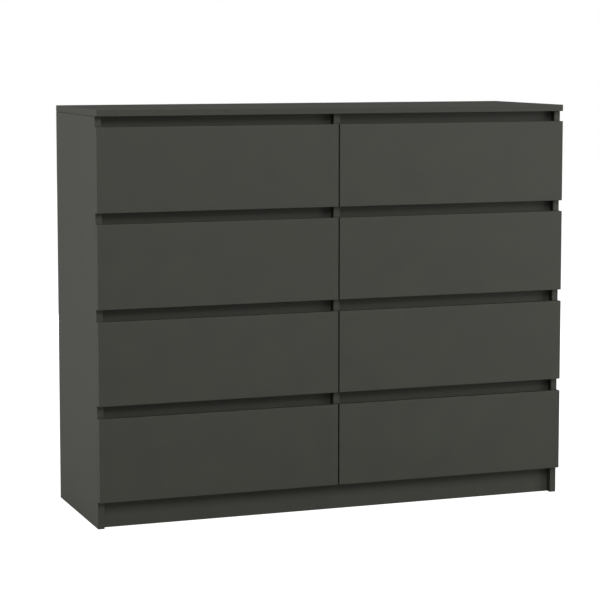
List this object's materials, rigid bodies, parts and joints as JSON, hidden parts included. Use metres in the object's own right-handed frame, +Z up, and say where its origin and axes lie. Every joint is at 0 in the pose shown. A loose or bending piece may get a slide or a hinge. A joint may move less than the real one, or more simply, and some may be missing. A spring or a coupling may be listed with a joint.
{
  "type": "chest of drawers",
  "caption": "Wide low chest of handleless drawers in two columns, with a finger gap over each front, a full top, panel sides to the floor and a set-back plinth.",
  "frame": {"origin": "on the floor, under the middle of the chest", "axes": "+X to the right of a person facing the chest, -Y towards that person, +Z up"},
  "size_m": [1.2, 0.39, 0.985],
  "materials": {
    "graphite_board": "matt graphite laminate on chipboard",
    "drawer_board": "pale grey laminate on chipboard",
    "fibreboard": "thin fibreboard with a pale lacquered face",
    "runner_steel": "pale epoxy coated steel",
    "roller_nylon": "white nylon",
    "zinc_plated_steel": "bright zinc plate",
    "beech": "plain beech"
  },
  "bodies": {
    "carcass": {"top_panel": "graphite_board", "left_side_panel": "graphite_board", "right_side_panel": "graphite_board", "centre_divider": "graphite_board", "bottom_panel": "graphite_board", "plinth": "graphite_board", "crossrails": "graphite_board", "back_panels": "fibreboard", "cabinet_runners": "runner_steel", "cam_fittings": "zinc_plated_steel", "dowels": "beech", "cabinet_runner_screws": "zinc_plated_steel"},
    "drawer_left_1": {"drawer_left_1_front": "graphite_board", "drawer_left_1_box": "drawer_board", "drawer_left_1_bottom": "fibreboard", "drawer_left_1_runners": "runner_steel"},
    "drawer_left_1_rear_rollers": {"drawer_left_1_rear_rollers": "roller_nylon"},
    "drawer_left_1_front_rollers": {"drawer_left_1_front_rollers": "roller_nylon"},
    "drawer_left_2": {"drawer_left_2_front": "graphite_board", "drawer_left_2_box": "drawer_board", "drawer_left_2_bottom": "fibreboard", "drawer_left_2_runners": "runner_steel"},
    "drawer_left_2_rear_rollers": {"drawer_left_2_rear_rollers": "roller_nylon"},
    "drawer_left_2_front_rollers": {"drawer_left_2_front_rollers": "roller_nylon"},
    "drawer_left_3": {"drawer_left_3_front": "graphite_board", "drawer_left_3_box": "drawer_board", "drawer_left_3_bottom": "fibreboard", "drawer_left_3_runners": "runner_steel"},
    "drawer_left_3_rear_rollers": {"drawer_left_3_rear_rollers": "roller_nylon"},
    "drawer_left_3_front_rollers": {"drawer_left_3_front_rollers": "roller_nylon"},
    "drawer_left_4": {"drawer_left_4_front": "graphite_board", "drawer_left_4_box": "drawer_board", "drawer_left_4_bottom": "fibreboard", "drawer_left_4_runners": "runner_steel"},
    "drawer_left_4_rear_rollers": {"drawer_left_4_rear_rollers": "roller_nylon"},
    "drawer_left_4_front_rollers": {"drawer_left_4_front_rollers": "roller_nylon"},
    "drawer_right_1": {"drawer_right_1_front": "graphite_board", "drawer_right_1_box": "drawer_board", "drawer_right_1_bottom": "fibreboard", "drawer_right_1_runners": "runner_steel"},
    "drawer_right_1_rear_rollers": {"drawer_right_1_rear_rollers": "roller_nylon"},
    "drawer_right_1_front_rollers": {"drawer_right_1_front_rollers": "roller_nylon"},
    "drawer_right_2": {"drawer_right_2_front": "graphite_board", "drawer_right_2_box": "drawer_board", "drawer_right_2_bottom": "fibreboard", "drawer_right_2_runners": "runner_steel"},
    "drawer_right_2_rear_rollers": {"drawer_right_2_rear_rollers": "roller_nylon"},
    "drawer_right_2_front_rollers": {"drawer_right_2_front_rollers": "roller_nylon"},
    "drawer_right_3": {"drawer_right_3_front": "graphite_board", "drawer_right_3_box": "drawer_board", "drawer_right_3_bottom": "fibreboard", "drawer_right_3_runners": "runner_steel"},
    "drawer_right_3_rear_rollers": {"drawer_right_3_rear_rollers": "roller_nylon"},
    "drawer_right_3_front_rollers": {"drawer_right_3_front_rollers": "roller_nylon"},
    "drawer_right_4": {"drawer_right_4_front": "graphite_board", "drawer_right_4_box": "drawer_board", "drawer_right_4_bottom": "fibreboard", "drawer_right_4_runners": "runner_steel"},
    "drawer_right_4_rear_rollers": {"drawer_right_4_rear_rollers": "roller_nylon"},
    "drawer_right_4_front_rollers": {"drawer_right_4_front_rollers": "roller_nylon"}
  },
  "joints": [
    {"name": "drawer_left_1_slide", "type": "slide", "parent": "carcass", "child": "drawer_left_1", "axis": [0, -1, 0], "range_m": [0, 0.26]},
    {"name": "drawer_left_1_rear_roll", "type": "hinge", "parent": "drawer_left_1", "child": "drawer_left_1_rear_rollers", "pos_m": [0, 0.159, 0.774], "axis": [1, 0, 0], "continuous": true},
    {"name": "drawer_left_1_front_roll", "type": "hinge", "parent": "carcass", "child": "drawer_left_1_front_rollers", "pos_m": [0, -0.1645, 0.7755], "axis": [1, 0, 0], "continuous": true},
    {"name": "drawer_left_2_slide", "type": "slide", "parent": "carcass", "child": "drawer_left_2", "axis": [0, -1, 0], "range_m": [0, 0.26]},
    {"name": "drawer_left_2_rear_roll", "type": "hinge", "parent": "drawer_left_2", "child": "drawer_left_2_rear_rollers", "pos_m": [0, 0.159, 0.549], "axis": [1, 0, 0], "continuous": true},
    {"name": "drawer_left_2_front_roll", "type": "hinge", "parent": "carcass", "child": "drawer_left_2_front_rollers", "pos_m": [0, -0.1645, 0.5505], "axis": [1, 0, 0], "continuous": true},
    {"name": "drawer_left_3_slide", "type": "slide", "parent": "carcass", "child": "drawer_left_3", "axis": [0, -1, 0], "range_m": [0, 0.26]},
    {"name": "drawer_left_3_rear_roll", "type": "hinge", "parent": "drawer_left_3", "child": "drawer_left_3_rear_rollers", "pos_m": [0, 0.159, 0.322], "axis": [1, 0, 0], "continuous": true},
    {"name": "drawer_left_3_front_roll", "type": "hinge", "parent": "carcass", "child": "drawer_left_3_front_rollers", "pos_m": [0, -0.1645, 0.3235], "axis": [1, 0, 0], "continuous": true},
    {"name": "drawer_left_4_slide", "type": "slide", "parent": "carcass", "child": "drawer_left_4", "axis": [0, -1, 0], "range_m": [0, 0.26]},
    {"name": "drawer_left_4_rear_roll", "type": "hinge", "parent": "drawer_left_4", "child": "drawer_left_4_rear_rollers", "pos_m": [0, 0.159, 0.0945], "axis": [1, 0, 0], "continuous": true},
    {"name": "drawer_left_4_front_roll", "type": "hinge", "parent": "carcass", "child": "drawer_left_4_front_rollers", "pos_m": [0, -0.1645, 0.096], "axis": [1, 0, 0], "continuous": true},
    {"name": "drawer_right_1_slide", "type": "slide", "parent": "carcass", "child": "drawer_right_1", "axis": [0, -1, 0], "range_m": [0, 0.26]},
    {"name": "drawer_right_1_rear_roll", "type": "hinge", "parent": "drawer_right_1", "child": "drawer_right_1_rear_rollers", "pos_m": [0, 0.159, 0.774], "axis": [1, 0, 0], "continuous": true},
    {"name": "drawer_right_1_front_roll", "type": "hinge", "parent": "carcass", "child": "drawer_right_1_front_rollers", "pos_m": [0, -0.1645, 0.7755], "axis": [1, 0, 0], "continuous": true},
    {"name": "drawer_right_2_slide", "type": "slide", "parent": "carcass", "child": "drawer_right_2", "axis": [0, -1, 0], "range_m": [0, 0.26]},
    {"name": "drawer_right_2_rear_roll", "type": "hinge", "parent": "drawer_right_2", "child": "drawer_right_2_rear_rollers", "pos_m": [0, 0.159, 0.549], "axis": [1, 0, 0], "continuous": true},
    {"name": "drawer_right_2_front_roll", "type": "hinge", "parent": "carcass", "child": "drawer_right_2_front_rollers", "pos_m": [0, -0.1645, 0.5505], "axis": [1, 0, 0], "continuous": true},
    {"name": "drawer_right_3_slide", "type": "slide", "parent": "carcass", "child": "drawer_right_3", "axis": [0, -1, 0], "range_m": [0, 0.26]},
    {"name": "drawer_right_3_rear_roll", "type": "hinge", "parent": "drawer_right_3", "child": "drawer_right_3_rear_rollers", "pos_m": [0, 0.159, 0.322], "axis": [1, 0, 0], "continuous": true},
    {"name": "drawer_right_3_front_roll", "type": "hinge", "parent": "carcass", "child": "drawer_right_3_front_rollers", "pos_m": [0, -0.1645, 0.3235], "axis": [1, 0, 0], "continuous": true},
    {"name": "drawer_right_4_slide", "type": "slide", "parent": "carcass", "child": "drawer_right_4", "axis": [0, -1, 0], "range_m": [0, 0.26]},
    {"name": "drawer_right_4_rear_roll", "type": "hinge", "parent": "drawer_right_4", "child": "drawer_right_4_rear_rollers", "pos_m": [0, 0.159, 0.0945], "axis": [1, 0, 0], "continuous": true},
    {"name": "drawer_right_4_front_roll", "type": "hinge", "parent": "carcass", "child": "drawer_right_4_front_rollers", "pos_m": [0, -0.1645, 0.096], "axis": [1, 0, 0], "continuous": true}
  ],
  "couplings": [
    {"joint": "drawer_left_1_rear_roll", "follows": "drawer_left_1_slide", "rad_per_m": 125},
    {"joint": "drawer_left_1_front_roll", "follows": "drawer_left_1_slide", "rad_per_m": 111.11},
    {"joint": "drawer_left_2_rear_roll", "follows": "drawer_left_2_slide", "rad_per_m": 125},
    {"joint": "drawer_left_2_front_roll", "follows": "drawer_left_2_slide", "rad_per_m": 111.11},
    {"joint": "drawer_left_3_rear_roll", "follows": "drawer_left_3_slide", "rad_per_m": 125},
    {"joint": "drawer_left_3_front_roll", "follows": "drawer_left_3_slide", "rad_per_m": 111.11},
    {"joint": "drawer_left_4_rear_roll", "follows": "drawer_left_4_slide", "rad_per_m": 125},
    {"joint": "drawer_left_4_front_roll", "follows": "drawer_left_4_slide", "rad_per_m": 111.11},
    {"joint": "drawer_right_1_rear_roll", "follows": "drawer_right_1_slide", "rad_per_m": 125},
    {"joint": "drawer_right_1_front_roll", "follows": "drawer_right_1_slide", "rad_per_m": 111.11},
    {"joint": "drawer_right_2_rear_roll", "follows": "drawer_right_2_slide", "rad_per_m": 125},
    {"joint": "drawer_right_2_front_roll", "follows": "drawer_right_2_slide", "rad_per_m": 111.11},
    {"joint": "drawer_right_3_rear_roll", "follows": "drawer_right_3_slide", "rad_per_m": 125},
    {"joint": "drawer_right_3_front_roll", "follows": "drawer_right_3_slide", "rad_per_m": 111.11},
    {"joint": "drawer_right_4_rear_roll", "follows": "drawer_right_4_slide", "rad_per_m": 125},
    {"joint": "drawer_right_4_front_roll", "follows": "drawer_right_4_slide", "rad_per_m": 111.11}
  ]
}
